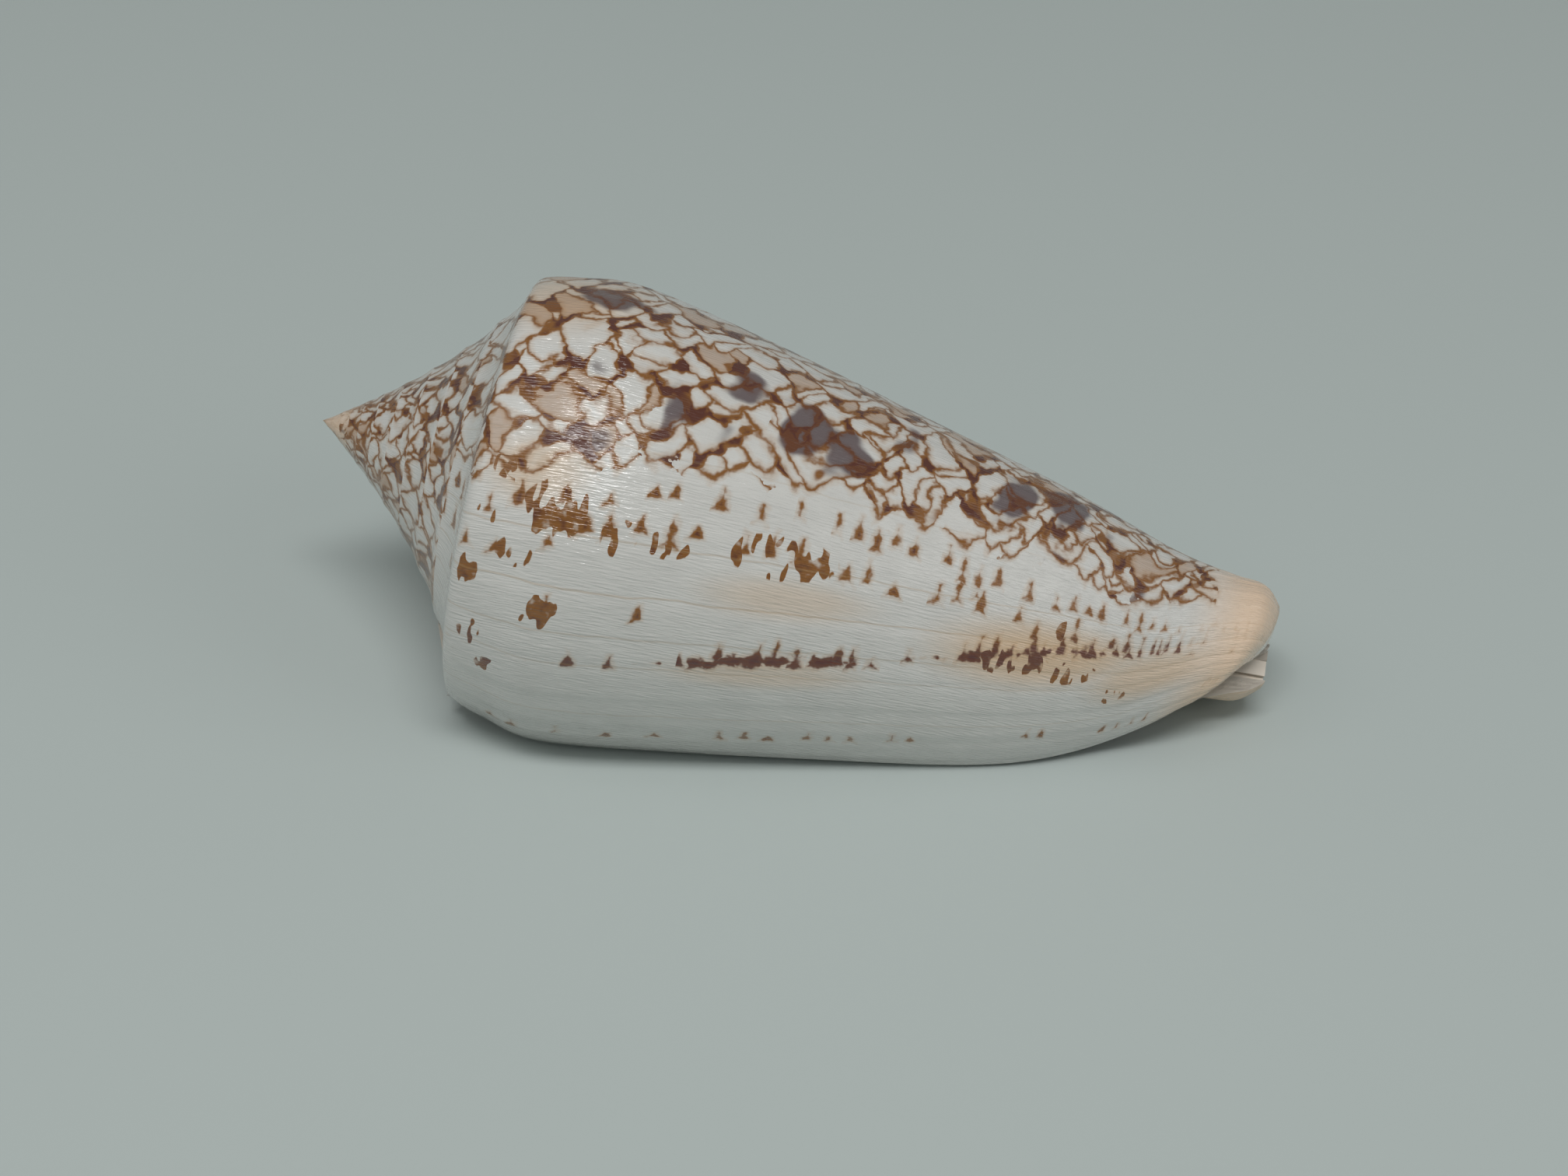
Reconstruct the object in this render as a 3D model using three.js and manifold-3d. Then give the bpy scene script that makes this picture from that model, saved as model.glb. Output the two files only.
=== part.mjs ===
// Cone shell: one solid grown along a spiral, lying on its aperture.
// Millimetres and degrees, +Z up, the spire to -X and the narrow end to +X.
// The origin is on the surface it rests on, under the middle of its box.
import * as THREE from 'three';
import Module from 'manifold-3d';

// The coil, measured along and out from the coiling axis
const LENGTH = 76;                // apex to narrow end
const SPIRE_HEIGHT = 14.9;        // apex to the shoulder, at the lip
const SHOULDER_RADIUS = 18.2;     // axis to the shoulder, at the lip
const TURNS = 9.5;                // apex to lip
const GROWTH = 0.245;             // how fast a turn shrinks going back from the lip
const EARLY_GROWTH = 0.009;       // and how much faster it does near the apex
const FLARE = 0.09;               // extra width of the last part of the last turn
const FLARE_LENGTH = 0.3;         // turns over which the flare fades
const SPIRE_CURVE = 1.7;          // 1 is a straight-sided spire, more is a hollow one
const SUTURE_STEP = 0.035;        // drop from one shoulder to the next turn, by radius
const STEP_WIDTH = 0.01;          // how far that drop leans outwards, by radius
const RAMP_HOLLOW = 0.10;         // how far the ramp swells, by its own width

// The side of the last turn, from the shoulder (0) to the narrow end (1) along
// the axis, against its width as a share of the shoulder radius
const SIDE = [[0, 1], [0.05, 1.045], [0.13, 1.08], [0.3, 0.965], [0.5, 0.79],
  [0.7, 0.6], [0.85, 0.415], [0.93, 0.35], [0.975, 0.325], [1, 0.235]];
const END_BEND = [0, -2.5];       // how far the narrow end bends off the axis: up, to -Y

// The lip, which every growth line repeats
const LIP_SLANT = 12;             // how far its narrow end hangs back from the shoulder
const LIP_BOW = -2;               // how far both its ends hang back from its middle; less than 0, forward
const LIP_CURL = 22;              // how far it turns back again over the last of its length
const CURL_START = 0.8;           // share of the side where that begins
const LIP_SHORT = 5;              // how far the lip stops short of the narrow end
const SHORT_LENGTH = 0.12;        // turns over which the side gets back to full length
const SHORT_SPREAD = 8;           // more keeps the shortening nearer the end
const BELLY = 2.3;                // how far the lip bulges past the coil's own size
const BELLY_LENGTH = 0.12;        // turns over which the bulge fades
const BELLY_PLACE = 2.5;          // 1 puts the bulge halfway down, more puts it lower
const LIP_WALL = 0.9;             // thickness of the lip's edge
const DEEP_WALL = 1.8;            // thickness of the wall further in
const WALL_RISE = 0.1;            // turns over which it thickens
const WALL_THINNING = 0.5;        // share of that thickening lost at the narrow end
const SLOT_DEPTH = [0.85, 0.5];   // how far the slot reaches back, in turns: shoulder, end
const SLOT_MIN = 1.8;             // least width of the slot
const SLOT_SINK = 0.06;           // how far it cuts into the turn before, to lay it bare
const SLOT_CLEAR = 0.4;           // how far it stays off the turn before, outside the lip
const SLOT_PAST = 1.12;           // share of the side that it runs on to, past the end
const SLOT_ROOF = 0.022;          // share of the side left over the slot's shoulder end
const SLOT_START = -0.02;         // turns past the lip where the slot begins

// How it lies: the axis dips to the narrow end, and the lip is turned under
const REST_DIP = 10.1;
const REST_LIP = 131.8;           // from straight up, round to -Y, to the middle of the lip

// Facets
const STEPS = 60;                 // to a turn
const RAMP_ROWS = 3;
const SIDE_ROWS = 24;
const SLOT_STEPS = 20;
const SLOT_ROWS = 22;

const TAU = Math.PI * 2;
const degrees = Math.PI / 180;

// Size of the coil a number of turns back from the lip: 1 at the lip itself, and
// nothing at the apex, where it starts over the first turn
function coil(turns) {
  const spiral = Math.exp(-(GROWTH + EARLY_GROWTH * turns) * turns);
  const start = THREE.MathUtils.smoothstep(TURNS - turns, 0, 1);
  return start * ((1 - FLARE) * spiral + FLARE * Math.exp(-turns / FLARE_LENGTH));
}

function shoulderRadius(turns) {
  return SHOULDER_RADIUS * coil(turns);
}

function shoulderHeight(turns) {
  const size = coil(turns);
  return SPIRE_HEIGHT * size * (SPIRE_CURVE - (SPIRE_CURVE - 1) * size);
}

// Width of the side at a share of its length
const sideCurve = new THREE.SplineCurve(SIDE.map(([along, width]) => new THREE.Vector2(along, width)));
const sidePoints = sideCurve.getPoints(SIDE_ROWS * 4);

function sideWidth(share) {
  const next = sidePoints.findIndex((point) => point.x >= share);
  if (next < 1) return share <= 0 ? SIDE[0][1] : SIDE.at(-1)[1];
  const [before, after] = [sidePoints[next - 1], sidePoints[next]];
  return THREE.MathUtils.mapLinear(share, before.x, after.x, before.y, after.y);
}

// Angle of a growth line round the axis, from straight up, at a share of the side
function lipAngle(share) {
  const slant = LIP_SLANT * (share - 0.5) + LIP_BOW * (2 * share - 1) ** 2;
  const curl = LIP_CURL * THREE.MathUtils.smoothstep(share, CURL_START, 1);
  return (REST_LIP - slant - curl) * degrees;
}

// A point of the shell: along the axis, out from it, and round it
function place(along, out, angle, share = 0) {
  const bend = Math.max(share, 0) ** 3;
  const up = out * Math.cos(angle) + bend * END_BEND[0];
  const front = out * Math.sin(angle) + bend * END_BEND[1];
  const dip = REST_DIP * degrees;
  const x = along * Math.cos(dip) + up * Math.sin(dip);
  const z = up * Math.cos(dip) - along * Math.sin(dip);
  return new THREE.Vector3(x, -front, z);
}

// Distance of the side from the axis, with the bulge of the lip
function sideRadius(turns, share) {
  const bulge = BELLY * Math.sin(Math.PI * THREE.MathUtils.clamp(share, 0, 1) ** BELLY_PLACE);
  return shoulderRadius(turns) * sideWidth(share) + bulge * Math.exp(-turns / BELLY_LENGTH);
}

// Place of the side along the axis, with the lip stopping short
function sideHeight(turns, share) {
  const top = shoulderHeight(turns);
  const short = LIP_SHORT * THREE.MathUtils.clamp(share, 0, 1) ** SHORT_SPREAD;
  return top + share * (LENGTH - top) - short * Math.exp(-turns / SHORT_LENGTH);
}

// A point a number of turns back from the lip, at a share of the side
function sidePlace(turns, share, radius = sideRadius(turns, share)) {
  return place(sideHeight(turns, share), radius, lipAngle(share) - turns * TAU, share);
}

// Distance from the axis of the turn before, where it faces a point of this turn
function radiusBelow(turns, share) {
  const top = shoulderHeight(turns + 1);
  const shareBelow = (sideHeight(turns, share) - top) / (LENGTH - top);
  return sideRadius(turns + 1, shareBelow);
}

// The ramp between the turn before (0) and this turn's shoulder (1)
function rampPlace(turns, share) {
  const inner = shoulderRadius(turns + 1);
  const outer = shoulderRadius(turns);
  const angle = lipAngle(0) - turns * TAU;
  if (share === 0) return place(shoulderHeight(turns + 1), inner, angle);
  const across = (share - 1 / RAMP_ROWS) / (1 - 1 / RAMP_ROWS);
  const suture = shoulderHeight(turns + 1) + SUTURE_STEP * inner;
  const swell = 4 * across * (1 - across) * RAMP_HOLLOW * (outer - inner);
  const along = THREE.MathUtils.lerp(suture, shoulderHeight(turns), across) + swell;
  return place(along, THREE.MathUtils.lerp(inner * (1 + STEP_WIDTH), outer, across), angle);
}

// A list of corners and triangles that grows as sheets are added to it
class Skin {
  corners = [];
  triangles = [];

  add(point) {
    this.corners.push(point);
    return this.corners.length - 1;
  }

  triangle(a, b, c) {
    if (a !== b && b !== c && c !== a) this.triangles.push(a, b, c);
  }

  // Joins two rows of corners, with as many in each
  ribbon(row, next) {
    for (let i = 0; i + 1 < row.length; i += 1) {
      this.triangle(row[i], next[i], next[i + 1]);
      this.triangle(row[i], next[i + 1], row[i + 1]);
    }
  }

  fan(centre, row) {
    for (let i = 0; i + 1 < row.length; i += 1) this.triangle(centre, row[i], row[i + 1]);
  }
}

// The coil as a full body: ramps from the apex, the last turn's side, and the
// face that closes it at the lip
function fullBody() {
  const skin = new Skin();
  const apex = skin.add(place(0, 0, 0));
  const count = Math.round(TURNS * STEPS);
  const ramps = [];
  for (let step = 0; step <= count; step += 1) {
    const turns = (count - step) / STEPS;
    const row = [step < STEPS ? apex : ramps[step - STEPS][RAMP_ROWS]];
    for (let i = 1; i <= RAMP_ROWS; i += 1) {
      row.push(step === 0 ? apex : skin.add(rampPlace(turns, i / RAMP_ROWS)));
    }
    ramps.push(row);
  }
  for (let step = 0; step < count; step += 1) skin.ribbon(ramps[step], ramps[step + 1]);

  const sides = [];
  for (let step = 0; step <= STEPS; step += 1) {
    const turns = (STEPS - step) / STEPS;
    const row = [ramps[count - STEPS + step][RAMP_ROWS]];
    for (let i = 1; i <= SIDE_ROWS; i += 1) row.push(skin.add(sidePlace(turns, i / SIDE_ROWS)));
    sides.push(row);
  }
  for (let step = 0; step < STEPS; step += 1) skin.ribbon(sides[step], sides[step + 1]);

  const end = skin.add(place(LENGTH, 0, 0, 1));
  skin.fan(end, sides.map((row) => row[SIDE_ROWS]));
  const lip = sides[STEPS];
  const under = sides[0];
  skin.fan(under[0], ramps[count].slice(1).reverse());
  skin.ribbon(lip, under);
  skin.triangle(lip[SIDE_ROWS], under[SIDE_ROWS], end);
  return skin;
}

// The slot of the aperture: the space between the last turn's wall and the turn
// before it, from the lip inwards, open past the lip and past the narrow end
function slotBody() {
  const skin = new Skin();
  const outer = [];
  const inner = [];
  for (let step = 0; step <= SLOT_STEPS; step += 1) {
    const outerRow = [];
    const innerRow = [];
    for (let i = 0; i <= SLOT_ROWS; i += 1) {
      const share = THREE.MathUtils.lerp(SLOT_ROOF, SLOT_PAST, i / SLOT_ROWS);
      const depth = THREE.MathUtils.lerp(SLOT_DEPTH[0], SLOT_DEPTH[1], Math.min(share, 1));
      const turns = THREE.MathUtils.lerp(SLOT_START, depth, step / SLOT_STEPS);
      const rise = THREE.MathUtils.smoothstep(turns, 0, WALL_RISE);
      const wall = THREE.MathUtils.lerp(LIP_WALL, DEEP_WALL, rise * (1 - share * WALL_THINNING));
      const roof = sideRadius(Math.max(turns, 0), share) - wall;
      const below = radiusBelow(turns, share);
      const inside = Math.min(below - SLOT_SINK, roof - SLOT_MIN);
      const outside = Math.min(below + SLOT_CLEAR, roof - SLOT_CLEAR);
      const floor = turns < 0 ? outside : inside;
      outerRow.push(skin.add(sidePlace(turns, share, roof)));
      innerRow.push(skin.add(sidePlace(turns, share, floor)));
    }
    outer.push(outerRow);
    inner.push(innerRow);
  }
  for (let step = 0; step < SLOT_STEPS; step += 1) {
    skin.ribbon(outer[step + 1], outer[step]);
    skin.ribbon(inner[step], inner[step + 1]);
  }
  skin.ribbon(outer[0], inner[0]);
  skin.ribbon(inner[SLOT_STEPS], outer[SLOT_STEPS]);
  skin.ribbon(inner.map((row) => row[0]), outer.map((row) => row[0]));
  skin.ribbon(outer.map((row) => row[SLOT_ROWS]), inner.map((row) => row[SLOT_ROWS]));
  return skin;
}

const wasm = await Module();
wasm.setup();

function solid(skin) {
  const vertProperties = new Float32Array(skin.corners.flatMap((corner) => corner.toArray()));
  const triVerts = new Uint32Array(skin.triangles);
  return new wasm.Manifold(new wasm.Mesh({ numProp: 3, vertProperties, triVerts }));
}

function geometry(body) {
  const mesh = body.getMesh();
  const shape = new THREE.BufferGeometry();
  shape.setAttribute('position', new THREE.BufferAttribute(mesh.vertProperties, 3));
  shape.setIndex(new THREE.BufferAttribute(mesh.triVerts, 1));
  shape.computeBoundingBox();
  const { min, max } = shape.boundingBox;
  shape.translate(-(min.x + max.x) / 2, -(min.y + max.y) / 2, -min.z);
  shape.computeVertexNormals();
  return shape;
}

const porcelain = new THREE.MeshStandardMaterial({ color: '#d8cdbf', roughness: 0.3, metalness: 0 });
const shell = new THREE.Mesh(geometry(solid(fullBody()).subtract(solid(slotBody()))), porcelain);
shell.name = 'shell';

const coneShell = new THREE.Group();
coneShell.add(shell);

export default coneShell;
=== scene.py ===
# Cone shell lying on its aperture: glossy lime shell with a brown net of tents.
# Metres, +Z up, spire to -X, narrow end to +X. The law of growth below works in
# millimetres and in turns back from the lip.
from math import cos, pi, radians, sin

import bmesh
import bpy
import numpy as np
from mathutils import Matrix, Vector


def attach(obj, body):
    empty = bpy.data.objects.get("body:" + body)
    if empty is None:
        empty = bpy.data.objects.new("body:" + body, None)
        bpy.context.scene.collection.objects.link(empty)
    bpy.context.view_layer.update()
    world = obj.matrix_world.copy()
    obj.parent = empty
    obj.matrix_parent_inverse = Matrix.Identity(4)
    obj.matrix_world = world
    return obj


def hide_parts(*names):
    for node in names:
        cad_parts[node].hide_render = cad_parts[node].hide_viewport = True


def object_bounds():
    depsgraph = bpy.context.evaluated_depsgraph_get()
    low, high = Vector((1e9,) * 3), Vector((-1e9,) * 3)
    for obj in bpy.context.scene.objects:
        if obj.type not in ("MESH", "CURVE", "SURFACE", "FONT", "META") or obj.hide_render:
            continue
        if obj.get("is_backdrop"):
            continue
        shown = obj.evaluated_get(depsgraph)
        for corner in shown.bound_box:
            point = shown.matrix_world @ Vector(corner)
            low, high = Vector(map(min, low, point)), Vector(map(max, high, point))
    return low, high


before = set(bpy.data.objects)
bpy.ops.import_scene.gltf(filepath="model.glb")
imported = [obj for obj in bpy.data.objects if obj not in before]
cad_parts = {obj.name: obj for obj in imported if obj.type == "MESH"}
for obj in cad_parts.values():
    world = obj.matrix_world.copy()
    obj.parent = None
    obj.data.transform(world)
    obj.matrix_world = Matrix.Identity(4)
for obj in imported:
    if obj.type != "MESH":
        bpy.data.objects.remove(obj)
cad_low, cad_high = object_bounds()

MM = 0.001
WELD = 2e-7                 # sheets whose edges meet are welded this close

# ---------------------------------------------------------------- the coil
LENGTH = 76.0               # apex to narrow end, along the coiling axis
SPIRE_HEIGHT = 14.9         # apex to the shoulder, at the lip
SHOULDER_RADIUS = 18.2      # axis to the shoulder, at the lip
TURNS = 9.5                 # apex to lip
GROWTH = 0.245              # how fast the coil shrinks with the turns back
EARLY_GROWTH = 0.009        # and how much faster in the first turns
FLARE = 0.09                # share of the lip's size that its last flare gives
FLARE_LENGTH = 0.3          # turns
SPIRE_CURVE = 1.7           # over 1, the spire is drawn out to a hollow-sided point
SUTURE_STEP = 0.035         # step at the suture, over the radius of the turn before
STEP_WIDTH = 0.01
RAMP_SWELL = 0.10           # how far the ramp between sutures swells, over its width
# The side of a turn: share of the way down, and radius over the shoulder's
SIDE = ((0, 1), (0.05, 1.045), (0.13, 1.08), (0.3, 0.965), (0.5, 0.79),
        (0.7, 0.6), (0.85, 0.415), (0.93, 0.35), (0.975, 0.325), (1, 0.235))
END_BEND = (0.0, -2.5)      # mm up and forward that the narrow end is bent

# ---------------------------------------------------------------- the lip
LIP_SLANT = 12.0            # degrees round the axis, from the shoulder to the end
LIP_BOW = -2.0              # degrees, its bow between the two
LIP_CURL = 22.0             # degrees that it curls back at the narrow end
CURL_START = 0.8            # share of the side where that begins
LIP_SHORT = 5.0             # mm that the lip stops short of the narrow end
SHORT_LENGTH = 0.12         # turns
SHORT_SPREAD = 8
BELLY = 2.3                 # mm that the lip bulges out low down
BELLY_LENGTH = 0.12         # turns
BELLY_PLACE = 2.5
LIP_WALL = 0.9              # mm, thickness at the lip
DEEP_WALL = 1.8             # mm more, further in
WALL_RISE = 0.1             # turns in which it gets there
WALL_THINNING = 0.5         # share of that which is gone at the narrow end
SLOT_DEPTH = (0.85, 0.5)    # turns the aperture winds in, at the shoulder and the end
SLOT_MIN = 1.8              # mm, least height of the aperture
SLOT_SINK = 0.06            # mm it cuts into the turn below
SLOT_CLEAR = 0.4            # mm it stands clear of it outside
SLOT_PAST = 1.12            # share of the side it runs to, past the narrow end
SLOT_ROOF = 0.022           # share of the side where it begins, below the shoulder
SLOT_START = -0.02          # turns, just outside the lip
REST_DIP = 10.1             # degrees the narrow end dips, as the shell lies
REST_LIP = 131.8            # degrees round the axis that the lip lies at

# ---------------------------------------------------------------- how finely
STEPS = 240                 # columns to a turn
RAMP_ROWS = 10
SIDE_ROWS = 150
SLOT_STEPS = 90
SLOT_ROWS = 110
SHOULDER_ROUND = 1.1        # mm either side of the shoulder that is rubbed round
LIP_ROUND = 0.4             # mm, radius of the lip's outer edge
RUBS = 7                    # passes of that rubbing
TIP_BLUNT = 0.08            # mm, radius within which the first turn is one point
RIPPLE = 0.035              # mm, height of the growth waves in the surface
RIPPLE_LENGTHS = (1.3, 2.1, 3.4, 5.5, 9.0)      # mm, at the shoulder
RIPPLE_SUM = 2.2            # what that many waves add up to, as a rule
SHARP_FROM = 50             # degrees, the lip's inner edge and the cut end stay sharp
NEAR = 1e-4                 # turns or share, when an edge is told by how it grew


def smooth(value, start, end):
    step = np.clip((value - start) / (end - start), 0, 1)
    return step * step * (3 - 2 * step)


def coil(turns):
    spiral = np.exp(-(GROWTH + EARLY_GROWTH * turns) * turns)
    start = smooth(TURNS - turns, 0, 1)
    return start * ((1 - FLARE) * spiral + FLARE * np.exp(-turns / FLARE_LENGTH))


def shoulder_radius(turns):
    return SHOULDER_RADIUS * coil(turns)


def shoulder_height(turns):
    size = coil(turns)
    return SPIRE_HEIGHT * size * (SPIRE_CURVE - (SPIRE_CURVE - 1) * size)


def catmull(before, start, end, after, step):
    """A point between start and end of a smooth curve through all four."""
    leave = (end - before) / 2
    arrive = (after - start) / 2
    return ((2 * start - 2 * end + leave + arrive) * step ** 3
            + (3 * end - 3 * start - 2 * leave - arrive) * step ** 2 + leave * step + start)


def side_curve(points, count=96):
    points = np.array(points, float)
    last = len(points) - 1
    curve = []
    for i in range(count + 1):
        place = last * i / count
        k = int(place)
        corners = [points[min(max(j, 0), last)] for j in (k - 1, k, k + 1, k + 2)]
        curve.append(catmull(*corners, place - k))
    return np.array(curve)


SIDE_CURVE = side_curve(SIDE)


def side_width(share):
    return np.interp(share, SIDE_CURVE[:, 0], SIDE_CURVE[:, 1])


def lip_angle(share):
    slant = LIP_SLANT * (share - 0.5) + LIP_BOW * (2 * share - 1) ** 2
    return np.radians(REST_LIP - slant - LIP_CURL * smooth(share, CURL_START, 1))


def place(along, out, angle, share=0.0):
    """Metres in the frame, before the shell is set over the origin."""
    bend = np.maximum(share, 0) ** 3
    up = out * np.cos(angle) + bend * END_BEND[0]
    front = out * np.sin(angle) + bend * END_BEND[1]
    dip = radians(REST_DIP)
    spots = (along * cos(dip) + up * sin(dip), -front, up * cos(dip) - along * sin(dip))
    return np.stack(np.broadcast_arrays(*spots), -1) * MM


def side_radius(turns, share):
    bulge = BELLY * np.sin(pi * np.clip(share, 0, 1) ** BELLY_PLACE)
    return shoulder_radius(turns) * side_width(share) + bulge * np.exp(-turns / BELLY_LENGTH)


def side_height(turns, share):
    top = shoulder_height(turns)
    short = LIP_SHORT * np.clip(share, 0, 1) ** SHORT_SPREAD
    return top + share * (LENGTH - top) - short * np.exp(-turns / SHORT_LENGTH)


def side_place(turns, share, radius):
    angle = lip_angle(share) - turns * 2 * pi
    return place(side_height(turns, share), radius, angle, share)


def radius_below(turns, share):
    top = shoulder_height(turns + 1)
    share_below = (side_height(turns, share) - top) / (LENGTH - top)
    return side_radius(turns + 1, share_below)


def ripple(turns, seed=5):
    """Low waves along the growth lines, from seeded lengths and phases."""
    rng = np.random.default_rng(seed)
    wave = 0 * turns
    for length in RIPPLE_LENGTHS:
        cycles = SHOULDER_RADIUS * 2 * pi / length
        wave = wave + np.sin(turns * 2 * pi * cycles * rng.uniform(0.9, 1.1) + rng.uniform(0, 6))
    return RIPPLE * wave / RIPPLE_SUM


def edge_round(turns, radius, size):
    """How far a rounded edge of the lip falls away from the sheet behind it."""
    depth = np.clip(1 - turns * 2 * pi * radius / size, 0, 1)
    return size * (1 - np.sqrt(1 - depth ** 2))


# ------------------------------------------------- the sheets of the shell
def grid(columns, rows):
    """A flat sheet of faces, its columns and rows both counted from 0 to 1."""
    bm = bmesh.new()
    bmesh.ops.create_grid(bm, x_segments=columns, y_segments=rows, size=0.5)
    mesh = bpy.data.meshes.new("sheet")
    bm.to_mesh(mesh)
    bm.free()
    flat = np.empty(len(mesh.vertices) * 3)
    mesh.vertices.foreach_get("co", flat)
    flat = flat.reshape(-1, 3) + 0.5
    return mesh, flat[:, 0], flat[:, 1]


def bend(mesh, spots, growth, form, paint, touch):
    """Bends a flat sheet into place and notes how each corner of it grew."""
    mesh.vertices.foreach_set("co", np.ascontiguousarray(spots, np.float32).ravel())
    corner = np.empty(len(mesh.loops), int)
    mesh.loops.foreach_get("vertex_index", corner)
    for name, values in (("growth", growth), ("form", form), ("paint", paint),
                         ("touch", touch)):
        layer = mesh.attributes.new(name, "FLOAT_VECTOR", "CORNER")
        values = np.stack(np.broadcast_arrays(*values), -1)[corner]
        layer.data.foreach_set("vector", np.ascontiguousarray(values, np.float32).ravel())
    mesh.update()
    return mesh


SHRINK = 0.6                # how much of a turn's smaller size its pattern keeps
KEEP = 0.55                 # and of the side's smaller width towards the narrow end
STRAIGHT_AT = 0.3           # turns back where the tents point straight to the lip
ages = np.linspace(0, TURNS + 1, 6000)
reach = np.maximum(coil(np.minimum(ages, TURNS)), 1e-4) ** SHRINK
age_length = np.concatenate(([0], np.cumsum((reach[1:] + reach[:-1]) / 2 * np.diff(ages))))
age_length *= 2 * pi * SHOULDER_RADIUS


def grown(turns):
    """Length of growth back from the lip, in the pattern's own millimetres."""
    return np.interp(turns, ages, age_length)


# Where the net of tents ends and the white of the last growth begins, and where
# the toothed brown band lies, as pairs of share of the side and turns back
NET_FRONT = ((0, 0.232), (0.1, 0.240), (0.19, 0.256), (0.34, 0.262), (0.53, 0.256),
             (0.74, 0.237), (0.88, 0.235), (1, 0.20))
BAND = ((0, 0.110), (0.165, 0.115), (0.33, 0.126), (0.5, 0.134), (0.73, 0.163), (1, 0.17))
# Dark clouds under the net: turns back, share of the side, mm round, mm along, depth
CLOUDS = ((0.322, 0.362, 3.4, 2.4, 1.0), (0.312, 0.414, 2.6, 2.4, 1.0),
          (0.334, 0.624, 2.6, 2.2, 1.0), (0.364, 0.701, 3.0, 2.6, 0.9),
          (0.397, 0.102, 2.6, 3.0, 0.9), (0.271, 0.124, 1.2, 2.4, 0.7),
          (0.350, 0.16, 1.6, 2.0, 0.7), (0.300, 0.21, 2.0, 1.6, 0.8), (0.262, 0.690, 1.2, 1.2, 0.9),
          (0.345, 0.29, 2.2, 1.8, 0.8), (0.240, 0.800, 1.6, 1.6, 0.7), (0.36, 0.48, 2.4, 1.6, 0.6))
# How strong that band is, by share of the side
BAND_DEPTH = ((0, 0), (0.08, 0.25), (0.2, 0.4), (0.27, 0.55), (0.3, 1), (0.46, 1), (0.5, 0.4),
              (0.56, 0.45), (0.6, 0.85), (0.74, 0.9), (0.8, 0.6), (1, 0.4))
# Yellow and orange tints in the white, and loose brown strokes near the shoulder
TINTS = ((0.183, 0.387, 1.6, 6.0, 0.5), (0.160, 0.700, 2.6, 8.0, 1.0), (0.130, 0.85, 2.0, 5.0, 0.8),
         (0.245, 0.075, 2.6, 3.6, 0.6), (0.120, 0.38, 1.4, 7.0, 0.5), (0.40, 0.05, 5.0, 6.0, 0.6))
STROKES = ((0.153, 0.110, 1.6, 2.0, 1.0), (0.190, 0.070, 1.3, 1.6, 0.8), (0.215, 0.035, 1.2, 1.4, 0.8),
           (0.222, 0.110, 2.4, 2.8, 1.0), (0.210, 0.185, 1.6, 1.6, 0.8), (0.170, 0.020, 1.6, 0.9, 0.8),
           (0.125, 0.035, 1.4, 1.2, 0.8), (0.100, 0.06, 1.0, 1.2, 0.7), (0.150, 0.665, 1.2, 3.0, 0.9),
           (0.140, 0.74, 1.0, 2.4, 0.9), (0.105, 0.80, 0.8, 1.8, 0.7), (0.08, 0.95, 0.8, 1.4, 0.8),
           (0.05, 0.975, 0.6, 1.2, 0.8), (0.190, 0.72, 0.9, 0.8, 0.8),
           (0.210, 0.240, 1.1, 1.8, 1.0), (0.214, 0.37, 1.9, 4.6, 0.8), (0.245, 0.045, 1.2, 1.6, 0.7))


SPOT_FADE = (0.35, 1.35)    # of a patch's size, where it starts and stops to fade
SPOT_LENGTH = 0.8 * LENGTH  # mm down the side that a patch's own length is taken of
HIDDEN_CLOUDS = 26


def soft_spots(turns, share, spots):
    """Depth of a few soft round patches of pigment, each highest at its middle."""
    depth = 0 * turns + 0 * share
    for back, down, around, along, strength in spots:
        size = 2 * pi * side_radius(back, down)
        gap = np.hypot((turns - back) * size / around, (share - down) * SPOT_LENGTH / along)
        depth = np.maximum(depth, strength * (1 - smooth(gap, *SPOT_FADE)))
    return depth


def hidden_clouds(seed=11):
    """More dark clouds, over the part of the side that lies behind and below."""
    rng = np.random.default_rng(seed)
    spots = []
    for _ in range(HIDDEN_CLOUDS):
        back, down = rng.uniform(0.45, 1.0), rng.uniform(0, 0.9)
        spots.append((back, down, *rng.uniform(1.2, 3.2, 2), 0.9))
    return tuple(spots)


def reach_of(share):
    """How long the pattern's growth is at a share of the side, by the shoulder's."""
    return side_width(share) ** KEEP


def paint(turns, share):
    """Distance back from the net's front and from the band, and the clouds' depth."""
    front = grown(turns) - grown(np.interp(share, *np.transpose(NET_FRONT)))
    band = grown(turns) - grown(np.interp(share, *np.transpose(BAND)))
    dark = soft_spots(turns, share, CLOUDS + hidden_clouds())
    return front * reach_of(share), band * reach_of(share), dark


def touch(turns, share):
    """Strength of the band, of the warm tints and of the loose strokes."""
    band = np.interp(share, *np.transpose(BAND_DEPTH)) + 0 * turns
    return band, soft_spots(turns, share, TINTS), soft_spots(turns, share, STROKES)


def side_sheet():
    mesh, column, row = grid(STEPS, SIDE_ROWS)
    turns = 1 - column
    radius = side_radius(turns, row)
    worn = ripple(turns) * smooth(row, 0, 0.04) - edge_round(turns, radius, LIP_ROUND)
    spots = side_place(turns, row, radius + worn)
    size = side_radius(turns, row) / SHOULDER_RADIUS / coil(turns) ** SHRINK / reach_of(row)
    level = grown(STRAIGHT_AT)
    back = level + (grown(turns) - level) * reach_of(row)
    shares = np.linspace(0, 1, 400)
    sizes = side_width(shares) / reach_of(shares)
    down = np.concatenate(([0], np.cumsum(np.diff(shares) * (LENGTH - SPIRE_HEIGHT) / sizes[1:])))
    across = np.interp(row, shares, down)
    return bend(mesh, spots, (back, across, turns), (row, size, 0), paint(turns, row),
                touch(turns, row))


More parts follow.
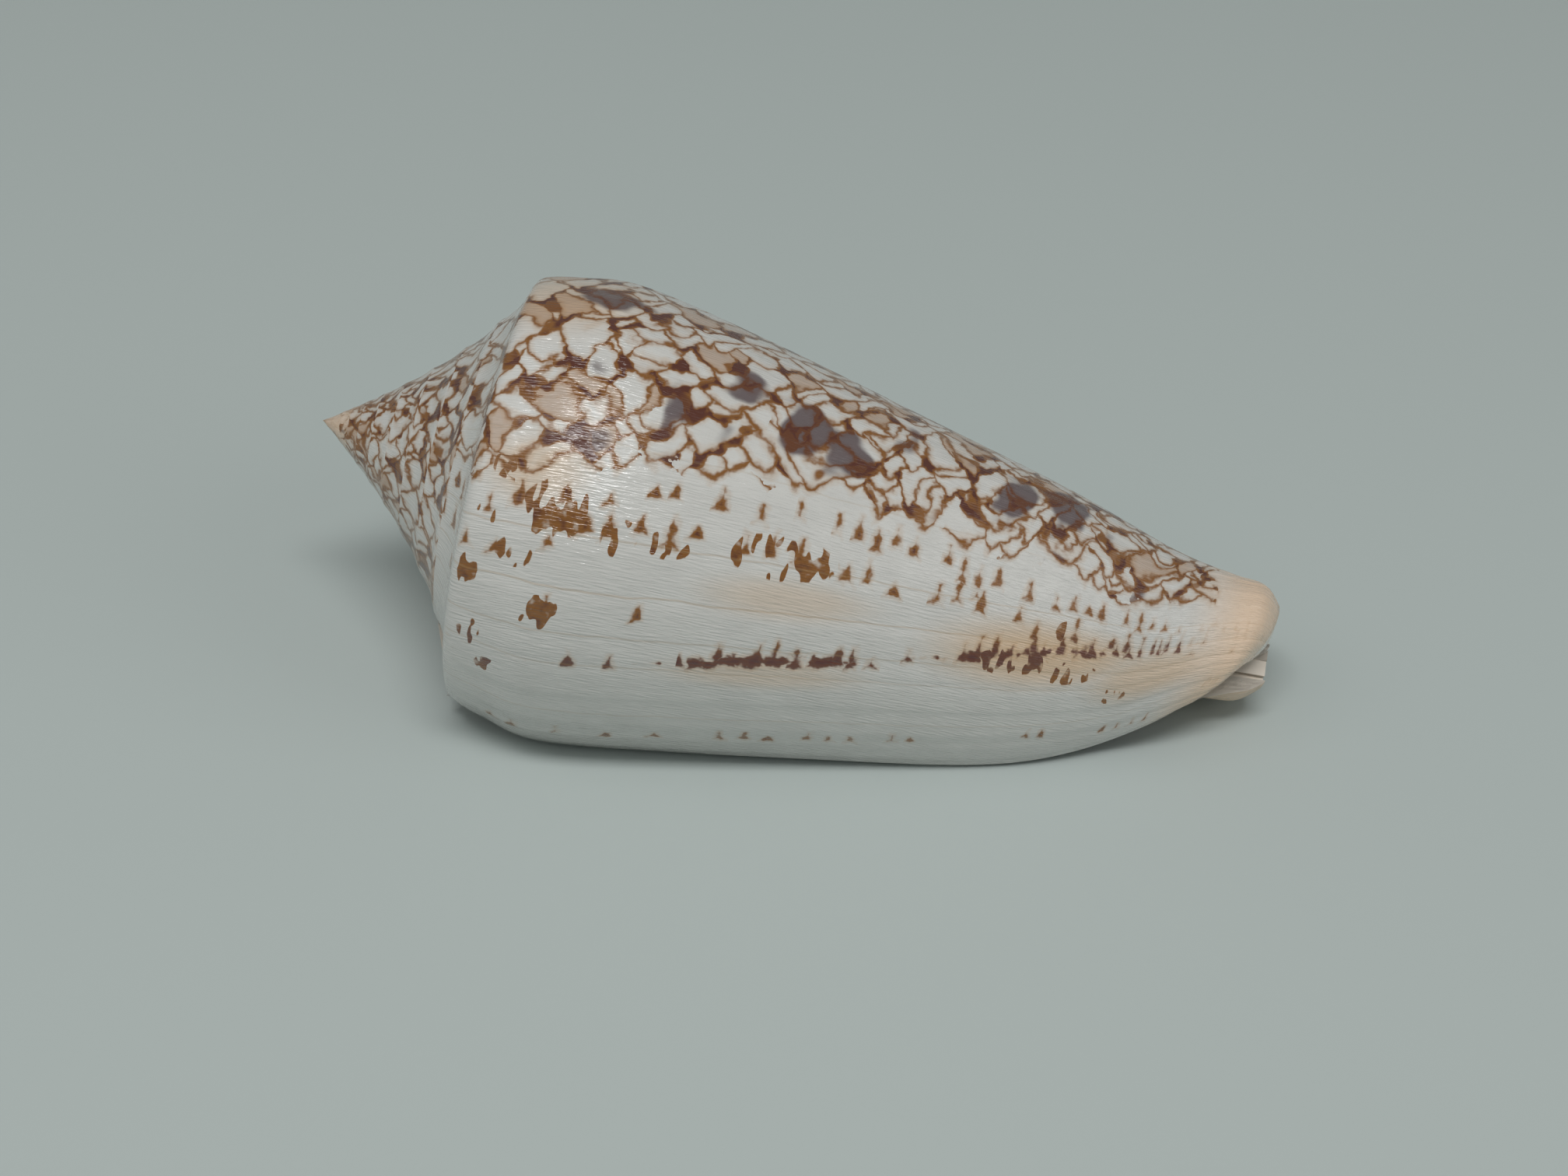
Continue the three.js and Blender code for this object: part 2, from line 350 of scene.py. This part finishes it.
def ramp_sheet():
    columns = round(TURNS * STEPS)
    mesh, column, row = grid(columns, RAMP_ROWS)
    turns = TURNS * (1 - column)
    inner = shoulder_radius(turns + 1) * (turns + 1 < TURNS)
    outer = shoulder_radius(turns)
    across = np.clip((row - 1 / RAMP_ROWS) / (1 - 1 / RAMP_ROWS), 0, 1)
    before = shoulder_height(turns + 1) * (turns + 1 < TURNS)
    suture = before + SUTURE_STEP * inner
    swell = 4 * across * (1 - across) * RAMP_SWELL * (outer - inner)
    along = suture + (shoulder_height(turns) - suture) * across + swell
    out = inner * (1 + STEP_WIDTH) + (outer - inner * (1 + STEP_WIDTH)) * across
    first = row < 0.5 / RAMP_ROWS
    along = np.where(first, before, along)
    out = np.where(first, inner, out)
    spots = place(along, out, lip_angle(0.0) - turns * 2 * pi)
    size = np.maximum(coil(turns), 1e-3) ** (1 - SHRINK)
    slope = np.hypot(outer - inner, shoulder_height(turns) - before)
    growth = (grown(turns), (row - 1) * slope / size, turns)
    return bend(mesh, spots, growth, (-0.05 * (1 - row), size, 0), paint(turns, 0 * row),
                (0 * row, 0, 0))


def joined(meshes):
    bm = bmesh.new()
    for mesh in meshes:
        bm.from_mesh(mesh)
        bpy.data.meshes.remove(mesh)
    bmesh.ops.remove_doubles(bm, verts=bm.verts, dist=WELD)
    return bm


def rim_edges(bm, test):
    """Open edges whose two corners both grew where the test says."""
    growth = bm.loops.layers.float_vector["growth"]
    form = bm.loops.layers.float_vector["form"]
    found = []
    for edge in bm.edges:
        if not edge.is_boundary:
            continue
        loop = edge.link_loops[0]
        corners = (loop, loop.link_loop_next)
        if all(test(corner[growth].z, corner[form].x) for corner in corners):
            found.append(edge)
    return found


WALL = Vector((0.5, 1, 1))  # noted on faces of the shell's own thickness


def note_wall(bm, faces):
    form = bm.loops.layers.float_vector["form"]
    for face in faces:
        for loop in face.loops:
            loop[form] = WALL


def rub_shoulder(bm):
    """Rounds the shoulder and the sutures, which the sheets meet at sharply."""
    growth = bm.loops.layers.float_vector["growth"]
    form = bm.loops.layers.float_vector["form"]
    near = []
    for vert in bm.verts:
        if vert.is_boundary:
            continue
        for loop in vert.link_loops:
            if abs(loop[growth].y) < SHOULDER_ROUND * loop[form].y:
                near.append(vert)
                break
    for _ in range(RUBS):
        bmesh.ops.smooth_vert(bm, verts=near, factor=0.5, use_axis_x=True, use_axis_y=True,
                              use_axis_z=True)


def full_body():
    """The coil as one closed body, before the aperture is opened."""
    bm = joined([side_sheet(), ramp_sheet()])
    tip = [vert for vert in bm.verts if vert.co.length < TIP_BLUNT * MM]
    bmesh.ops.pointmerge(bm, verts=tip, merge_co=Vector((0, 0, 0)))
    bmesh.ops.dissolve_degenerate(bm, edges=bm.edges, dist=WELD)
    rub_shoulder(bm)
    before = set(bm.faces)
    lip = rim_edges(bm, lambda turns, share: abs(turns) < NEAR and share > -NEAR)
    under = rim_edges(bm, lambda turns, share: abs(turns - 1) < NEAR and share > -NEAR)
    bmesh.ops.bridge_loops(bm, edges=lip + under)
    centre = Vector(place(LENGTH, 0, 0, 1.0))
    end = [edge for edge in bm.edges if edge.is_boundary and edge.verts[0].co.x > centre.x / 2]
    skirt = bmesh.ops.extrude_edge_only(bm, edges=end)["geom"]
    ring = [part for part in skirt if isinstance(part, bmesh.types.BMVert)]
    bmesh.ops.pointmerge(bm, verts=ring, merge_co=centre)
    bmesh.ops.holes_fill(bm, edges=[edge for edge in bm.edges if edge.is_boundary], sides=0)
    note_wall(bm, set(bm.faces) - before)
    bmesh.ops.recalc_face_normals(bm, faces=bm.faces)
    return bm


def slot_sheet(roof):
    mesh, column, row = grid(SLOT_STEPS, SLOT_ROWS)
    share = SLOT_ROOF + (SLOT_PAST - SLOT_ROOF) * row
    depth = SLOT_DEPTH[0] + (SLOT_DEPTH[1] - SLOT_DEPTH[0]) * np.minimum(share, 1)
    turns = SLOT_START + (depth - SLOT_START) * column ** 1.5
    rise = smooth(turns, 0, WALL_RISE)
    wall = LIP_WALL + (DEEP_WALL - LIP_WALL) * rise * (1 - share * WALL_THINNING)
    top = side_radius(np.maximum(turns, 0), share) - wall
    below = radius_below(turns, share)
    inside = np.minimum(below - SLOT_SINK, top - SLOT_MIN)
    outside = np.minimum(below + SLOT_CLEAR, top - SLOT_CLEAR)
    floor = np.where(turns < 0, outside, inside)
    top = top + edge_round(np.maximum(turns, 0), top, LIP_ROUND)
    spots = side_place(turns, share, top if roof else floor)
    growth = (turns * 100, share * 60, turns)
    return bend(mesh, spots, growth, (0.5 + 0 * row, 1, 1), (0 * row, 0, 0),
                (0 * row, 0, 0))


def slot_body():
    bm = joined([slot_sheet(True), slot_sheet(False)])
    bmesh.ops.bridge_loops(bm, edges=[edge for edge in bm.edges if edge.is_boundary])
    note_wall(bm, [face for face in bm.faces])
    bmesh.ops.recalc_face_normals(bm, faces=bm.faces)
    return bm


def piece(name, bm):
    mesh = bpy.data.meshes.new(name)
    bm.to_mesh(mesh)
    bm.free()
    made = bpy.data.objects.new(name, mesh)
    bpy.context.scene.collection.objects.link(made)
    return made


shell = piece("shell_surface", full_body())
aperture = piece("aperture_space", slot_body())
cut = shell.modifiers.new("aperture", "BOOLEAN")
cut.operation = "DIFFERENCE"
cut.solver = "MANIFOLD"
cut.object = aperture
opened = bpy.data.meshes.new_from_object(shell.evaluated_get(bpy.context.evaluated_depsgraph_get()))
shell.modifiers.clear()
bpy.data.objects.remove(aperture)
shell.data = opened
corners = np.empty(len(opened.vertices) * 3)
opened.vertices.foreach_get("co", corners)
low = corners.reshape(-1, 3).min(0)
high = corners.reshape(-1, 3).max(0)
middle = (cad_low + cad_high) / 2 - Vector((low + high) / 2)
opened.transform(Matrix.Translation((middle.x, middle.y, cad_low.z - low[2])))
opened.polygons.foreach_set("use_smooth", [True] * len(opened.polygons))
opened.set_sharp_from_angle(angle=radians(SHARP_FROM))


# ------------------------------------------------------------ the material
def tone(text):
    """A linear colour from an sRGB hex one."""
    parts = [int(text[i:i + 2], 16) / 255 for i in (1, 3, 5)]
    return (*[c / 12.92 if c <= 0.04045 else ((c + 0.055) / 1.055) ** 2.4 for c in parts], 1)


def add(tree, kind, inputs=(), out=0, **settings):
    """Adds a node with its settings, sets or links its inputs, and gives an output.
    A kind such as Math.ADD names the node's operation too."""
    kind, _, operation = kind.partition(".")
    node = tree.nodes.new("ShaderNode" + kind)
    if operation:
        node.operation = operation
    for name, value in settings.items():
        setattr(node, name, value)
    pairs = inputs.items() if isinstance(inputs, dict) else enumerate(inputs)
    for key, value in pairs:
        if isinstance(value, bpy.types.NodeSocket):
            tree.links.new(value, node.inputs[key])
        else:
            node.inputs[key].default_value = value
    return node.outputs[out]


def group(name, takes, gives):
    """An empty node group with named sockets, F for a number and V for a vector."""
    kinds = {"F": "NodeSocketFloat", "V": "NodeSocketVector"}
    tree = bpy.data.node_groups.new(name, "ShaderNodeTree")
    for in_out, sockets in (("INPUT", takes), ("OUTPUT", gives)):
        for socket in sockets:
            tree.interface.new_socket(socket[1:], in_out=in_out, socket_type=kinds[socket[0]])
    ins = tree.nodes.new("NodeGroupInput").outputs
    return tree, ins, tree.nodes.new("NodeGroupOutput").inputs


FLAT = {"noise_dimensions": "2D"}
SOFT = {"interpolation_type": "SMOOTHSTEP"}
COLOUR = {"out": "Result", "data_type": "RGBA"}

# The net. Lengths without a unit are in tents, all others are in mm
TENT = 2.1                  # between the tips of tents at the shoulder
SQUARES = ([(x, -2) for x in (-2, -1, 0, 1, 2)] + [(x, -1) for x in (-2, -1, 0, 1, 2)]
           + [(x, 0) for x in (-1, 0, 1)] + [(x, 1) for x in (-1, 0, 1)])
FAR = 100.0                 # stands for a tent that isn't there
TENTS_THERE = 0.86          # share of the squares that hold a tent
LEAST_STEEP = 0.75          # slope of the flattest tent's sides
MORE_STEEP = 0.9            # and what the steepest one has on top of that
TIP_ROUND = 0.02            # how round a tip is, as the square of a length
TIP_LIFT = 0.14             # moves the rounded tip back to its own place
SAME_TENT = 0.001
ACROSS_SIDES = 0.64         # from a height under a tent's side to the gap across it
SHAKES = ((0.2, 1.0, 3.0), (1.0, 2.0, 0.8))     # scale, detail, reach of each shaking
LINE_WIDTH = (0.05, 0.16)   # half the thinnest and the thickest line
BLOT_SIZE = (0.2, 1.15)     # where two lines part, the gap that fills with ink
NET_END = (0.90, 0.95)      # share of the side where the net fades out
APEX_WORN = (6.2, 8.2)      # turns back where the spire's net is worn away

# Rows of small triangles: field they keep to, mm before it, mm apart, height, half of
# the base, mm astray, share that are there (None takes the band's strength), draw
ROWS = (("front", 2.0, 1.5, 1.5, 0.42, 1.2, 0.6, 3), ("front", 4.9, 1.9, 1.5, 0.5, 1.4, 0.7, 41),
        ("band", -4.2, 3.1, 0.9, 0.35, 3.0, 0.3, 67), ("band", 0.0, 1.45, 1.5, 0.5, 0.5, None, 83),
        ("band", 8.9, 1.7, 0.8, 0.3, 0.4, 0.55, 127))
RAGGED = 0.9                # how much the edges of loose marks stray
INK_EDGE = (0.13, -0.11)    # gap to a mark where the ink begins, and where it is full
INK_DEEP = (-0.12, -0.50)   # and where it turns dark
INK_HALO = (0.45, 0.0)      # and where a tan stain lies round it
# Fine tan lines where growth stopped for a while: turns back, depth
LINES = ((0.172, 0.35), (0.141, 0.25), (0.208, 0.3), (0.118, 0.2), (0.07, 0.2), (0.27, 0.15))
LINE_WANDER = 0.004         # turns
LINE_EDGE = (0.0011, 0.0003)
STRIAE = (0.6, 6.0)         # how many to a mm, down the side and back from the lip
STRIAE_HEIGHT = 0.07 * MM

GLAZE = "#DAD8D3"           # white lime under the gloss
GLAZE_DULL = "#CFCDC8"
CREAM = "#E8CDB2"           # bare narrow end and first turns
HONEY = "#D9A866"           # warm tints in the white
STAIN = "#B88A52"
TAWNY = "#A8763F"           # tents that are filled with brown
CLOUD = "#4A3036"
INK = "#8A5A28"
INK_DARK = "#5C3022"
MAROON = "#5E322E"          # of the band
STOP_LINE = "#A9895C"
THROAT = "#EDE2D4"          # inside the aperture, and the lip's edge


def tent_group():
    """One tent of the net: its tip is somewhere in its own square of the shell, and
    it widens back from the lip. Rise is how far inside its two sides a place is."""
    tree, ins, gives = group("one_tent", ("VPlace", "VSquare", "FFront"), ("FRise", "FUp", "FChance"))
    corner = add(tree, "VectorMath.FLOOR", (ins["Place"],))
    square = add(tree, "VectorMath.ADD", (corner, ins["Square"]))
    draw = add(tree, "TexWhiteNoise", {"Vector": square}, out="Color", **FLAT)
    chance = draw.node.outputs["Value"]
    spread = add(tree, "VectorMath.MULTIPLY", (draw, (1, 1, 0)))
    tip = add(tree, "VectorMath.ADD", (square, spread))
    off = add(tree, "VectorMath.SUBTRACT", (ins["Place"], tip))
    off = add(tree, "SeparateXYZ", (off,)).node.outputs
    third = add(tree, "SeparateXYZ", (draw,), out=2)
    steep = add(tree, "Math.MULTIPLY_ADD", (third, MORE_STEEP, LEAST_STEEP))
    side = add(tree, "Math.MULTIPLY", (off[0], steep))
    side = add(tree, "Math.SQRT", (add(tree, "Math.MULTIPLY_ADD", (side, side, TIP_ROUND)),))
    lowered = add(tree, "Math.SUBTRACT", (side, TIP_LIFT))
    rise = add(tree, "Math.SUBTRACT", (off[1], lowered))
    tip_up = add(tree, "SeparateXYZ", (tip,), out=1)
    ahead = add(tree, "Math.LESS_THAN", (tip_up, ins["Front"]))
    missing = add(tree, "Math.GREATER_THAN", (chance, TENTS_THERE))
    gone = add(tree, "Math.MULTIPLY", (add(tree, "Math.MAXIMUM", (ahead, missing)), FAR))
    tree.links.new(add(tree, "Math.SUBTRACT", (rise, gone)), gives["Rise"])
    tree.links.new(add(tree, "Math.ADD", (off[1], gone)), gives["Up"])
    tree.links.new(chance, gives["Chance"])
    return tree


def owner_group():
    """Keeps the tent whose tip is the least way down from a place inside it."""
    takes = ("FUp so far", "FChance so far", "FRise", "FUp", "FChance")
    tree, ins, gives = group("owner", takes, ("FUp", "FChance"))
    outside = add(tree, "Math.LESS_THAN", (ins["Rise"], 0.0))
    up = add(tree, "Math.MULTIPLY_ADD", (outside, FAR, ins["Up"]))
    nearer = add(tree, "Math.LESS_THAN", (up, ins["Up so far"]))
    change = add(tree, "Math.SUBTRACT", (ins["Chance"], ins["Chance so far"]))
    chance = add(tree, "Math.MULTIPLY_ADD", (nearer, change, ins["Chance so far"]))
    tree.links.new(add(tree, "Math.MINIMUM", (up, ins["Up so far"])), gives["Up"])
    tree.links.new(chance, gives["Chance"])
    return tree


def outline_group():
    """Keeps the two nearest sides of tents that aren't hidden under the owner."""
    takes = ("FFirst so far", "FSecond so far", "FRise", "FUp", "FOwner")
    tree, ins, gives = group("outline", takes, ("FFirst", "FSecond"))
    limit = add(tree, "Math.ADD", (ins["Owner"], SAME_TENT))
    hidden = add(tree, "Math.GREATER_THAN", (ins["Up"], limit))
    side = add(tree, "Math.ABSOLUTE", (ins["Rise"],))
    gap = add(tree, "Math.MULTIPLY_ADD", (hidden, FAR, side))
    later = add(tree, "Math.MAXIMUM", (gap, ins["First so far"]))
    tree.links.new(add(tree, "Math.MINIMUM", (gap, ins["First so far"])), gives["First"])
    tree.links.new(add(tree, "Math.MINIMUM", (later, ins["Second so far"])), gives["Second"])
    return tree


def row_group():
    """A row of small triangles, flat side to the lip. Gap is negative inside them."""
    takes = ("FAlong", "FBack", "FPitch", "FHeight", "FHalf", "FStray", "FShare", "FDraw")
    tree, ins, gives = group("row_of_marks", takes, ("FGap",))
    count = add(tree, "Math.DIVIDE", (ins["Along"], ins["Pitch"]))
    number = add(tree, "Math.ADD", (add(tree, "Math.FLOOR", (count,)), ins["Draw"]))
    draw = add(tree, "TexWhiteNoise", {"W": number}, out="Color", noise_dimensions="1D")
    chance = draw.node.outputs["Value"]
    red, green, blue = add(tree, "SeparateXYZ", (draw,)).node.outputs
    shift = add(tree, "Math.MULTIPLY_ADD", (red, 0.5, 0.25))
    across = add(tree, "Math.SUBTRACT", (add(tree, "Math.FRACT", (count,)), shift))
    across = add(tree, "Math.MULTIPLY", (across, ins["Pitch"]))
    across = add(tree, "Math.ABSOLUTE", (across,))
    stray = add(tree, "Math.SUBTRACT", (green, 0.5))
    back = add(tree, "Math.MULTIPLY_ADD", (stray, ins["Stray"], ins["Back"]))
    height = add(tree, "Math.MULTIPLY", (ins["Height"], add(tree, "Math.ADD", (blue, 0.5))))
    half = add(tree, "Math.MULTIPLY", (ins["Half"], add(tree, "Math.ADD", (red, 0.5))))
    lean = add(tree, "Math.DIVIDE", (add(tree, "Math.MULTIPLY", (back, half)), height))
    sides = add(tree, "Math.SUBTRACT", (add(tree, "Math.ADD", (across, lean)), half))
    before = add(tree, "Math.MULTIPLY", (back, -1.0))
    past_top = add(tree, "Math.SUBTRACT", (back, height))
    gap = add(tree, "Math.MAXIMUM", (add(tree, "Math.MAXIMUM", (sides, before)), past_top))
    missing = add(tree, "Math.GREATER_THAN", (chance, ins["Share"]))
    tree.links.new(add(tree, "Math.MULTIPLY_ADD", (missing, FAR, gap)), gives["Gap"])
    return tree


def porcelain_shell():
    """Glazed lime of a cone shell: white porcelain laid down in growth lines, its
    pigment net sealed under a smooth clear gloss that shows fine growth striae."""
    material = bpy.data.materials.new("glazed_shell_lime")
    material.use_nodes = True
    tree = material.node_tree
    noted = []
    for name in ("growth", "form", "paint", "touch"):
        vector = add(tree, "Attribute", out="Vector", attribute_name=name)
        noted += add(tree, "SeparateXYZ", (vector,)).node.outputs
    back, down, turns, share, size, inside, *painted = noted
    past_front, past_band, cloud, band, warm, stroke = painted

    # The place on the sheet of growth, shaken so that no tent is straight
    flat = add(tree, "CombineXYZ", (down, back, 0.0))
    shaken = flat
    for scale, detail, far in SHAKES:
        shake = add(tree, "TexNoise", {"Vector": flat, "Scale": scale, "Detail": detail},
                    out="Color", **FLAT)
        shake = add(tree, "VectorMath.SUBTRACT", (shake, (0.5, 0.5, 0.5)))
        shaken = add(tree, "VectorMath.MULTIPLY_ADD", (shake, (far, far, 0), shaken))
    squares = add(tree, "VectorMath.MULTIPLY", (shaken, (1 / TENT, 1 / TENT, 0)))
    up = add(tree, "SeparateXYZ", (squares,), out=1)
    front = add(tree, "Math.SUBTRACT", (up, add(tree, "Math.DIVIDE", (past_front, TENT))))

    one_tent, owner_of, outline = tent_group(), owner_group(), outline_group()
    tents = []
    for x, y in SQUARES:
        tents.append(add(tree, "Group", (squares, (x, y, 0), front), node_tree=one_tent).node)
    owner, chance = FAR, 0.0
    for tent in tents:
        so_far = (owner, chance, *tent.outputs)
        owner, chance = add(tree, "Group", so_far, node_tree=owner_of).node.outputs
    first, second = FAR, FAR
    for tent in tents:
        so_far = (first, second, tent.outputs["Rise"], tent.outputs["Up"], owner)
        first, second = add(tree, "Group", so_far, node_tree=outline).node.outputs
    to_mm = add(tree, "Math.MULTIPLY", (size, TENT * ACROSS_SIDES))
    first_mm = add(tree, "Math.MULTIPLY", (first, to_mm))
    both_mm = add(tree, "Math.MULTIPLY", (add(tree, "Math.ADD", (first, second)), to_mm))

    # Ink of the lines, and of the small triangles where two lines part
    uneven = add(tree, "TexNoise", {"Vector": flat, "Scale": 0.6, "Detail": 2.0}, **FLAT)
    patchy = add(tree, "TexNoise", {"Vector": flat, "Scale": 0.35, "Detail": 1.0}, **FLAT)
    width = add(tree, "MapRange", (uneven, 0.3, 0.7, *LINE_WIDTH))
    blot = add(tree, "MapRange", (patchy, 0.38, 0.66, *BLOT_SIZE))
    line = add(tree, "Math.SUBTRACT", (first_mm, width))
    filled = add(tree, "Math.SUBTRACT", (both_mm, add(tree, "Math.MULTIPLY", (blot, size))))
    net = add(tree, "Math.MINIMUM", (line, filled))
    net = add(tree, "Math.ADD", (net, add(tree, "MapRange", (share, *NET_END, 0.0, 2.0))))
    net = add(tree, "Math.ADD", (net, add(tree, "MapRange", (turns, *APEX_WORN, 0.0, 0.3))))

    # Loose marks in the white: rows of triangles, the band's strip, brushed strokes
    row_of, marks, fields = row_group(), FAR, {"front": past_front, "band": past_band}
    for field, before, *shape, there, draw in ROWS:
        moved = add(tree, "Math.ADD", (fields[field], before))
        values = (down, moved, *shape, band if there is None else there, draw)
        row = add(tree, "Group", values, node_tree=row_of)
        marks = add(tree, "Math.MINIMUM", (row, marks))
    from_middle = add(tree, "Math.SUBTRACT", (uneven, 0.5))
    strong = add(tree, "Math.MULTIPLY_ADD", (from_middle, 1.4, band))
    breadth = add(tree, "MapRange", (strong, 0.55, 1.0, -0.4, 0.45))
    strip = add(tree, "Math.ABSOLUTE", (add(tree, "Math.SUBTRACT", (past_band, 0.3)),))
    marks = add(tree, "Math.MINIMUM", (marks, add(tree, "Math.SUBTRACT", (strip, breadth))))
    brushed = add(tree, "VectorMath.MULTIPLY", (flat, (1.25, 0.5, 0)))
    brushed = add(tree, "TexNoise", {"Vector": brushed, "Scale": 0.8, "Detail": 1.0}, **FLAT)
    brushed = add(tree, "MapRange", (brushed, 0.42, 0.6, 0.0, 1.5))
    loose = add(tree, "Math.MULTIPLY", (stroke, brushed))
    loose = add(tree, "MapRange", (loose, 0.3, 0.62, 1.2, -0.16))
    marks = add(tree, "Math.MINIMUM", (marks, loose))
    ragged = add(tree, "SeparateXYZ", (shake,), out=2)
    marks = add(tree, "Math.MULTIPLY_ADD", (ragged, RAGGED, marks))
    marks = add(tree, "Math.MULTIPLY", (marks, size))
    marks = add(tree, "Math.ADD", (marks, add(tree, "MapRange", (share, 0.82, 0.94, 0.0, 0.35))))

    ink_gap = add(tree, "Math.MINIMUM", (net, marks))
    ink = add(tree, "MapRange", (ink_gap, *INK_EDGE, 0.0, 1.0), **SOFT)
    deep = add(tree, "MapRange", (ink_gap, *INK_DEEP, 0.0, 1.0), **SOFT)
    halo = add(tree, "MapRange", (ink_gap, *INK_HALO, 0.0, 0.3), **SOFT)

    # Where each colour lies, and how deep
    end = add(tree, "MapRange", (share, 0.86, 0.96, 0.0, 1.0), **SOFT)
    old = add(tree, "MapRange", (turns, 5.5, 8.0, 0.0, 0.9), **SOFT)
    tinted = add(tree, "MapRange", (chance, 0.72, 0.74, 0.0, 0.5))
    in_net = add(tree, "Math.LESS_THAN", (owner, FAR / 2))
    short_of_end = add(tree, "MapRange", (share, 0.86, 0.9, 1.0, 0.0))
    in_net = add(tree, "Math.MULTIPLY", (in_net, short_of_end))
    from_middle = add(tree, "Math.SUBTRACT", (patchy, 0.5))
    dark = add(tree, "Math.MULTIPLY_ADD", (from_middle, 1.6, cloud))
    dark = add(tree, "MapRange", (dark, 0.35, 0.75, 0.0, 0.85), **SOFT)
    dark = add(tree, "Math.MULTIPLY", (dark, in_net))
    deep = add(tree, "Math.MAXIMUM", (deep, add(tree, "Math.MULTIPLY", (dark, 0.9))))
    from_band = add(tree, "Math.ABSOLUTE", (past_band,))
    on_band = add(tree, "MapRange", (from_band, 2.2, 0.8, 0.0, 0.75))
    inked = tone(INK)
    for over, depth in ((INK_DARK, deep), (MAROON, on_band)):
        inked = add(tree, "Mix", {"Factor": depth, "A": inked, "B": tone(over)}, **COLOUR)

    # Colours, from the white ground up
    layers = [(tone(GLAZE_DULL), patchy),
              (tone(HONEY), add(tree, "Math.MULTIPLY", (warm, 0.55))),
              (tone(CREAM), add(tree, "Math.MAXIMUM", (end, old))),
              (tone(STAIN), halo),
              (tone(TAWNY), add(tree, "Math.MULTIPLY", (tinted, in_net))),
              (tone(CLOUD), dark),
              (inked, ink)]
    wander = add(tree, "Math.MULTIPLY_ADD", (from_middle, LINE_WANDER, turns))
    for stop, depth in LINES:
        gap = add(tree, "Math.ABSOLUTE", (add(tree, "Math.SUBTRACT", (wander, stop)),))
        layers.append((tone(STOP_LINE), add(tree, "MapRange", (gap, *LINE_EDGE, 0.0, depth))))
    layers.append((tone(THROAT), inside))
    colour = tone(GLAZE)
    for over, depth in layers:
        colour = add(tree, "Mix", {"Factor": depth, "A": colour, "B": over}, **COLOUR)

    striae = add(tree, "VectorMath.MULTIPLY", (flat, (*STRIAE, 0)))
    striae = add(tree, "TexNoise", {"Vector": striae, "Scale": 1.0, "Detail": 2.0}, **FLAT)
    bump = add(tree, "Bump", {"Strength": 1.0, "Distance": STRIAE_HEIGHT, "Height": striae})
    surface = tree.nodes["Principled BSDF"]
    tree.links.new(colour, surface.inputs["Base Color"])
    tree.links.new(bump, surface.inputs["Normal"])
    tree.links.new(bump, surface.inputs["Coat Normal"])
    surface.inputs["Roughness"].default_value = 0.18
    surface.inputs["IOR"].default_value = 1.53
    surface.inputs["Coat Weight"].default_value = 0.6
    surface.inputs["Coat Roughness"].default_value = 0.07
    return material


opened.materials.clear()
opened.materials.append(porcelain_shell())
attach(shell, "root")
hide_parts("shell")

# -------------------------------------------------------------- the studio
CAMERA_TURN = 7.626         # degrees round from -Y towards +X
CAMERA_RISE = 38.544
CAMERA_ROLL = 2.239
CAMERA_AWAY = 180.932       # mm
CAMERA_AIM = (-1.171, 2.615, 6.455)
SENSOR = 36                 # mm wide
LENS = 52.25                # mm
FLOOR_HALF = 1.5            # m, half its side
FLOOR_TONE = "#B9C2BF"
WORLD_TONE = "#DCE3E2"
WORLD_STRENGTH = 0.25
# Soft boxes: name, turn, rise, mm away, mm across, mm high, watts
LAMPS = (("key", 5, 70, 700, 480, 130, 2.5), ("side", 75, 35, 800, 400, 400, 0.55),
         ("back", -60, 50, 800, 500, 500, 0.6))


def look_from(turn, rise, roll, away, aim):
    turn, rise, roll = radians(turn), radians(rise), radians(roll)
    out = Vector((sin(turn) * cos(rise), -cos(turn) * cos(rise), sin(rise)))
    right = (-out).cross(Vector((0, 0, 1))).normalized()
    top = right.cross(-out)
    axis_x = right * cos(roll) + top * sin(roll)
    axis_y = top * cos(roll) - right * sin(roll)
    turned = Matrix((axis_x, axis_y, out)).transposed().to_4x4()
    return Matrix.Translation((Vector(aim) + out * away) * MM) @ turned


lens = bpy.data.cameras.new("camera")
lens.lens = LENS
lens.sensor_width = SENSOR
lens.clip_start = 0.005
camera = bpy.data.objects.new("camera", lens)
bpy.context.scene.collection.objects.link(camera)
camera.matrix_world = look_from(CAMERA_TURN, CAMERA_RISE, CAMERA_ROLL, CAMERA_AWAY, CAMERA_AIM)
bpy.context.scene.camera = camera

bm = bmesh.new()
bmesh.ops.create_grid(bm, x_segments=1, y_segments=1, size=FLOOR_HALF)
floor = piece("floor", bm)
paper = bpy.data.materials.new("floor_paper")         # matt pale card
paper.use_nodes = True
matt = paper.node_tree.nodes["Principled BSDF"]
matt.inputs["Base Color"].default_value = tone(FLOOR_TONE)
matt.inputs["Roughness"].default_value = 0.7
floor.data.materials.append(paper)
floor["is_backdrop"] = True

for name, turn, rise, away, wide, high_side, power in LAMPS:
    light = bpy.data.lights.new(name, "AREA")
    light.shape = "RECTANGLE"
    light.size = wide * MM
    light.size_y = high_side * MM
    light.energy = power
    lamp = bpy.data.objects.new(name, light)
    bpy.context.scene.collection.objects.link(lamp)
    lamp.matrix_world = look_from(turn, rise, 0, away, (0, 0, 10))
world = bpy.data.worlds.new("studio")
bpy.context.scene.world = world
world.use_nodes = True
sky = world.node_tree.nodes["Background"]
sky.inputs["Color"].default_value = tone(WORLD_TONE)
sky.inputs["Strength"].default_value = WORLD_STRENGTH
bpy.context.scene.view_settings.view_transform = "Standard"

low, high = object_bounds()
